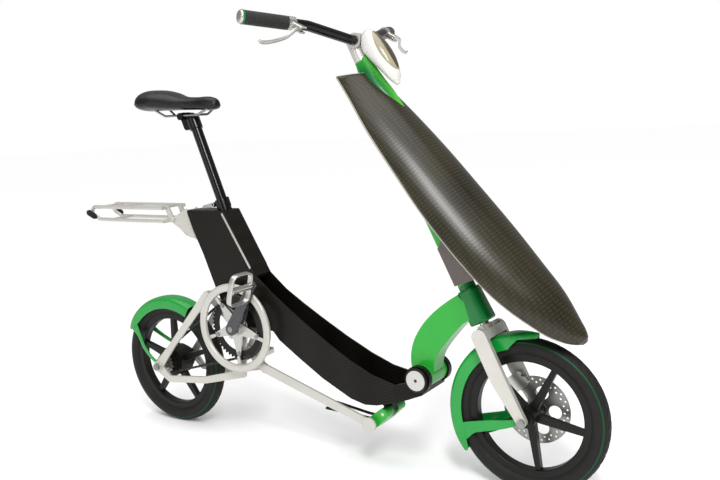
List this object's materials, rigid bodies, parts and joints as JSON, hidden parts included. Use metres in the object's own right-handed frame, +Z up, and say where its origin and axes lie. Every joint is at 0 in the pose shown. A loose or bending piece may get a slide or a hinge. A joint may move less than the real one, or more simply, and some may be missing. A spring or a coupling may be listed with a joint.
{
  "type": "folding bicycle",
  "caption": "Folding bicycle with a channel-shaped frame, a leaf-shaped leg shield, a guarded chain drive, a swinging rear arm, a folding rack and a linked stand.",
  "frame": {"origin": "centre of the bounding box at ground level, on the bicycle's centre plane", "axes": "+X points forward, +Y to the rider's left, +Z up; both tyres stand on Z = 0"},
  "size_m": [1.7149, 0.7062, 1.2151],
  "materials": {
    "carbon": "gloss",
    "green_paint": "gloss",
    "green_plastic": "gloss",
    "silver_paint": "satin",
    "silver_plastic": "gloss",
    "grey_block": "matt",
    "black_metal": "gloss",
    "alloy": "satin",
    "steel": "satin",
    "rubber": "matt",
    "tyre": "matt",
    "saddle_cover": "satin",
    "lens": "gloss"
  },
  "bodies": {
    "main_frame": {"main_frame": "carbon", "frame_strips": "alloy", "seat_clamp": "black_metal", "bb_shell": "alloy", "bb_bearings": "steel", "rack_bracket": "silver_paint", "hinge_pin": "alloy"},
    "seat": {"seatpost": "black_metal", "saddle_clamp": "black_metal", "saddle_rails": "steel", "saddle": "saddle_cover"},
    "seat_lever": {"seat_clamp_lever": "alloy"},
    "rack": {"rack_frame": "silver_paint", "rack_feet": "rubber"},
    "latch": {"rack_latch": "steel"},
    "crankset": {"bb_axle": "steel", "crank_right": "black_metal", "crank_left": "alloy", "spider": "alloy", "chainring": "black_metal", "chainring_bolts": "steel", "chain_guard": "silver_paint", "pedal_axles": "steel"},
    "right_pedal": {"pedal_right": "alloy"},
    "left_pedal": {"pedal_left": "alloy"},
    "rear_arm": {"swingarm": "silver_paint", "swing_bumper": "rubber", "rear_axle": "steel", "rear_mudguard": "green_plastic", "chain": "steel"},
    "rear_sprocket": {"sprocket": "steel"},
    "rear_wheel": {"rear_hub": "black_metal", "rear_rim": "black_metal", "rear_tyre": "tyre"},
    "strut_link": {"strut": "silver_paint"},
    "stand": {"stand_crank": "green_paint", "stand_pins": "silver_paint", "stand_legs": "black_metal"},
    "front_frame": {"front_arc": "green_paint", "head_tube": "green_paint", "column": "green_paint", "headset_bearings": "steel", "shell": "carbon", "shell_bracket": "grey_block"},
    "steering": {"fork": "silver_paint", "steerer": "alloy", "front_axle": "steel", "front_mudguard": "green_plastic", "brake_caliper": "alloy", "stem": "silver_paint", "handlebar": "black_metal", "grips": "rubber", "lever_mounts": "alloy", "headlight_housing": "silver_plastic", "headlight_lens": "lens"},
    "right_brake_lever": {"brake_lever_right": "alloy"},
    "left_brake_lever": {"brake_lever_left": "alloy"},
    "front_wheel": {"front_rim": "black_metal", "front_tyre": "tyre", "brake_disc": "steel"}
  },
  "joints": [
    {"name": "main_fold", "type": "hinge", "parent": "main_frame", "child": "front_frame", "pos_m": [0.3745, 0, 0.272], "axis": [0, -1, 0], "range_deg": [0, 34]},
    {"name": "steer", "type": "hinge", "parent": "front_frame", "child": "steering", "pos_m": [0.551, 0, 0.4], "axis": [-0.4384, 0, 0.8988], "range_deg": [-45, 45]},
    {"name": "swing", "type": "hinge", "parent": "main_frame", "child": "rear_arm", "pos_m": [-0.2375, 0, 0.352], "axis": [0, -1, 0], "range_deg": [0, 90]},
    {"name": "strut_turn", "type": "hinge", "parent": "rear_arm", "child": "strut_link", "pos_m": [-0.2725, 0, 0.322], "axis": [0, -1, 0], "range_deg": [-90, 0]},
    {"name": "stand_turn", "type": "hinge", "parent": "main_frame", "child": "stand", "pos_m": [0.2545, 0, 0.155], "axis": [0, -1, 0], "range_deg": [0, 90]},
    {"name": "rack_fold", "type": "hinge", "parent": "main_frame", "child": "rack", "pos_m": [-0.4975, 0, 0.666], "axis": [0, -1, 0], "range_deg": [0, 99]},
    {"name": "rack_latch_turn", "type": "hinge", "parent": "main_frame", "child": "latch", "pos_m": [-0.4975, 0, 0.666], "axis": [0, -1, 0], "range_deg": [-30, 0]},
    {"name": "seat_slide", "type": "slide", "parent": "main_frame", "child": "seat", "axis": [0.3502, 0, -0.9367], "range_m": [0, 0.2]},
    {"name": "seat_lever_turn", "type": "hinge", "parent": "main_frame", "child": "seat_lever", "pos_m": [-0.33548, 0, 0.71284], "axis": [0, 1, 0], "range_deg": [0, 70]},
    {"name": "crank_spin", "type": "hinge", "parent": "main_frame", "child": "crankset", "pos_m": [-0.2375, 0, 0.352], "axis": [0, 1, 0], "continuous": true},
    {"name": "sprocket_spin", "type": "hinge", "parent": "rear_arm", "child": "rear_sprocket", "pos_m": [-0.5575, 0, 0.2], "axis": [0, 1, 0], "continuous": true},
    {"name": "rear_wheel_spin", "type": "hinge", "parent": "rear_arm", "child": "rear_wheel", "pos_m": [-0.5575, 0, 0.2], "axis": [0, 1, 0], "continuous": true},
    {"name": "front_wheel_spin", "type": "hinge", "parent": "steering", "child": "front_wheel", "pos_m": [0.6575, 0, 0.2], "axis": [0, 1, 0], "continuous": true},
    {"name": "right_pedal_spin", "type": "hinge", "parent": "crankset", "child": "right_pedal", "pos_m": [-0.14643, -0.13, 0.48959], "axis": [0, 1, 0], "continuous": true},
    {"name": "left_pedal_spin", "type": "hinge", "parent": "crankset", "child": "left_pedal", "pos_m": [-0.32857, 0.13, 0.21441], "axis": [0, 1, 0], "continuous": true},
    {"name": "right_lever_squeeze", "type": "hinge", "parent": "steering", "child": "right_brake_lever", "pos_m": [0.18349, -0.22295, 1.16912], "axis": [-0.4711, 0, -0.8821], "range_deg": [0, 10], "stiffness_Nm_per_rad": 1.5, "springref_deg": -5.73},
    {"name": "left_lever_squeeze", "type": "hinge", "parent": "steering", "child": "left_brake_lever", "pos_m": [0.18349, 0.22295, 1.16912], "axis": [0.4711, 0, 0.8821], "range_deg": [0, 10], "stiffness_Nm_per_rad": 1.5, "springref_deg": -5.73}
  ],
  "couplings": [
    {"joint": "strut_turn", "follows": "swing", "ratio": -1},
    {"joint": "stand_turn", "follows": "swing", "ratio": 1},
    {"joint": "rack_fold", "follows": "swing", "ratio": 1.1},
    {"joint": "sprocket_spin", "follows": "crank_spin", "ratio": 3}
  ]
}
